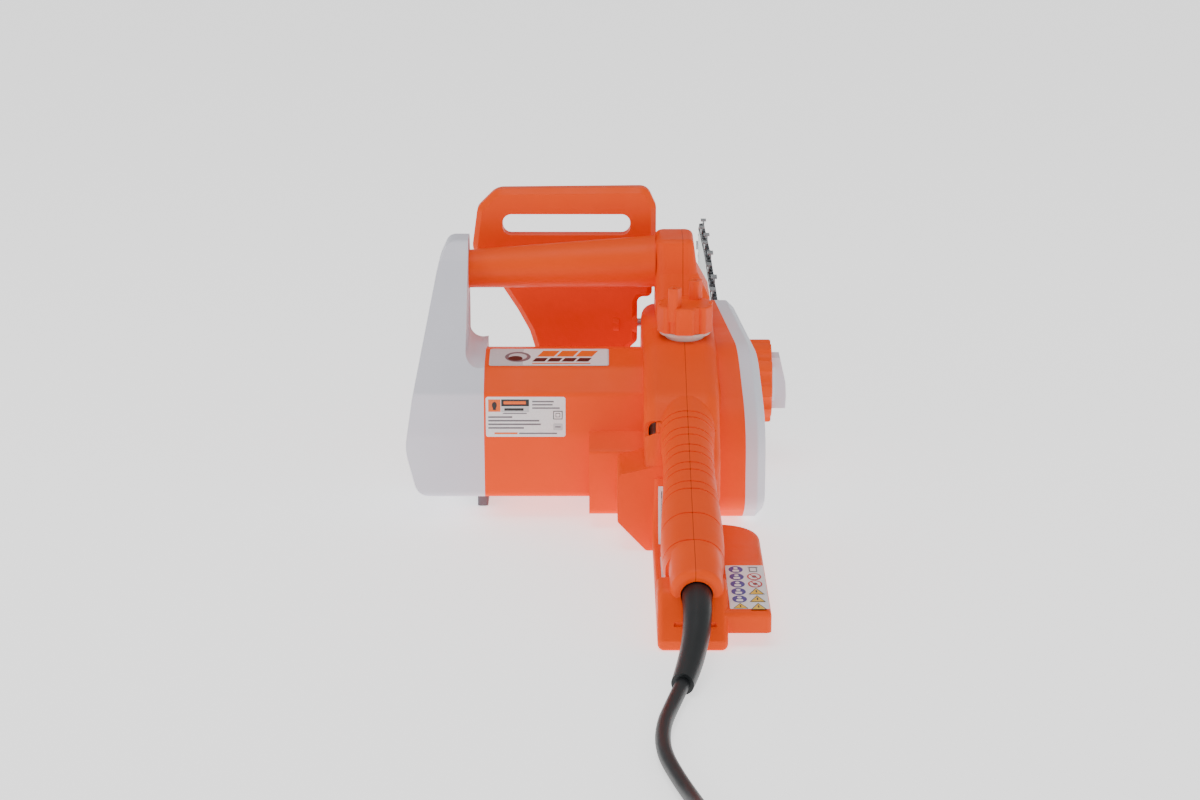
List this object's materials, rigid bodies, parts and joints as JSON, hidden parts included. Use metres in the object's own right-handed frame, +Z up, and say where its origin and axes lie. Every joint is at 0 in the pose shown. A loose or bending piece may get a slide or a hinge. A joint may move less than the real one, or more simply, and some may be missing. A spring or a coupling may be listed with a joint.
{
  "type": "corded electric chainsaw",
  "caption": "Corded electric chainsaw with a transverse motor, looped front handle, tilting hand guard, closed rear grip, guide bar with chain and a tool-free bar clamp.",
  "frame": {"origin": "on the underside of the body, in the plane where the two halves of the housing meet, 70 mm behind the bolt that clamps the guide bar", "axes": "+Y forward along the guide bar, +Z up, +X to the operator's right, the side of the sprocket cover"},
  "size_m": [0.2538, 1.1162, 0.1949],
  "materials": {
    "orange_plastic": "satin moulded",
    "grey_plastic": "satin moulded",
    "dark_rubber": "smooth semi-gloss",
    "bar_steel": "ground and lacquered",
    "chain_steel": "blued and oiled",
    "cutter_chrome": "hard chromed",
    "machined_steel": "turned, zinc plated",
    "laminated_iron": "stacked laminations",
    "winding_copper": "enamelled copper",
    "cast_aluminium": "die cast",
    "tank_plastic": "translucent natural",
    "black_plastic": "glass filled",
    "pin_brass": "nickel plated"
  },
  "bodies": {
    "housing": {"left_shell": "orange_plastic", "right_shell": "orange_plastic", "motor_end_cover": "grey_plastic", "front_handle_tube": "orange_plastic", "end_cover_screws": "machined_steel", "housing_screws": "machined_steel", "motor_foot": "dark_rubber", "motor_stator": "laminated_iron", "field_coils": "winding_copper", "brush_holders": "black_plastic", "brushes": "black_plastic", "motor_bearings": "machined_steel", "gear_plate": "cast_aluminium", "spindle_bearings": "machined_steel", "brake_band": "machined_steel", "brake_spring": "machined_steel", "oil_pump": "black_plastic", "oil_tank": "tank_plastic", "oil_pipe": "tank_plastic", "guide_bar": "bar_steel", "nose_rivets": "cutter_chrome", "chain_drive_links": "chain_steel", "chain_tie_straps": "chain_steel", "chain_cutters_right": "cutter_chrome", "chain_cutters_left": "cutter_chrome", "chain_rivets": "chain_steel", "bar_stud": "machined_steel", "tension_slide": "machined_steel", "chain_catcher": "cast_aluminium", "sprocket_cover": "grey_plastic", "bumper_spikes": "bar_steel", "bumper_screws": "machined_steel", "guard_pin": "machined_steel", "trigger_pin": "machined_steel", "trigger_spring": "machined_steel", "switch_block": "black_plastic", "cord_sleeve": "dark_rubber", "power_cord": "dark_rubber", "plug_body": "dark_rubber", "plug_pins": "pin_brass"},
    "rotor": {"armature_shaft": "machined_steel", "armature_core": "laminated_iron", "armature_windings": "winding_copper", "commutator": "winding_copper", "motor_fan": "black_plastic", "motor_pinion": "machined_steel"},
    "spindle": {"output_shaft": "machined_steel", "drive_gear": "machined_steel", "oil_worm": "black_plastic", "drive_sprocket": "machined_steel", "sprocket_clip": "machined_steel"},
    "nose_wheel": {"nose_sprocket": "chain_steel"},
    "front_guard": {"hand_guard": "orange_plastic"},
    "trigger_lever": {"trigger": "orange_plastic"},
    "lock": {"lock_button": "orange_plastic"},
    "filler_cap": {"oil_cap": "orange_plastic"},
    "tensioner": {"tension_ring": "orange_plastic"},
    "clamp": {"clamp_knob": "grey_plastic", "clamp_nut": "machined_steel"}
  },
  "joints": [
    {"name": "spindle_spin", "type": "hinge", "parent": "housing", "child": "spindle", "pos_m": [0, 0.01974, 0.058], "axis": [1, 0, 0], "continuous": true},
    {"name": "rotor_spin", "type": "hinge", "parent": "housing", "child": "rotor", "pos_m": [-0.06, -0.0145, 0.061], "axis": [1, 0, 0], "continuous": true},
    {"name": "nose_spin", "type": "hinge", "parent": "housing", "child": "nose_wheel", "pos_m": [0.0275, 0.448, 0.058], "axis": [1, 0, 0], "continuous": true},
    {"name": "guard_tilt", "type": "hinge", "parent": "housing", "child": "front_guard", "pos_m": [-0.038, 0.068, 0.1], "axis": [-1, 0, 0], "range_deg": [0, 18]},
    {"name": "trigger_squeeze", "type": "hinge", "parent": "housing", "child": "trigger_lever", "pos_m": [0, -0.124, 0.053], "axis": [-1, 0, 0], "range_deg": [0, 8], "stiffness_Nm_per_rad": 0.5, "springref_deg": -14.32},
    {"name": "lock_press", "type": "slide", "parent": "housing", "child": "lock", "axis": [1, 0, 0], "range_m": [0, 0.0035], "stiffness_N_per_m": 300, "springref_m": -0.004},
    {"name": "cap_turn", "type": "hinge", "parent": "housing", "child": "filler_cap", "pos_m": [0.0005, -0.022, 0.119], "axis": [0, 0, 1], "range_deg": [0, 270]},
    {"name": "tension_turn", "type": "hinge", "parent": "housing", "child": "tensioner", "pos_m": [0.05, 0.07, 0.058], "axis": [1, 0, 0], "continuous": true},
    {"name": "clamp_turn", "type": "hinge", "parent": "housing", "child": "clamp", "pos_m": [0.06, 0.07, 0.058], "axis": [1, 0, 0], "continuous": true}
  ],
  "couplings": [
    {"joint": "rotor_spin", "follows": "spindle_spin", "ratio": -4},
    {"joint": "nose_spin", "follows": "spindle_spin", "ratio": 0.75}
  ]
}
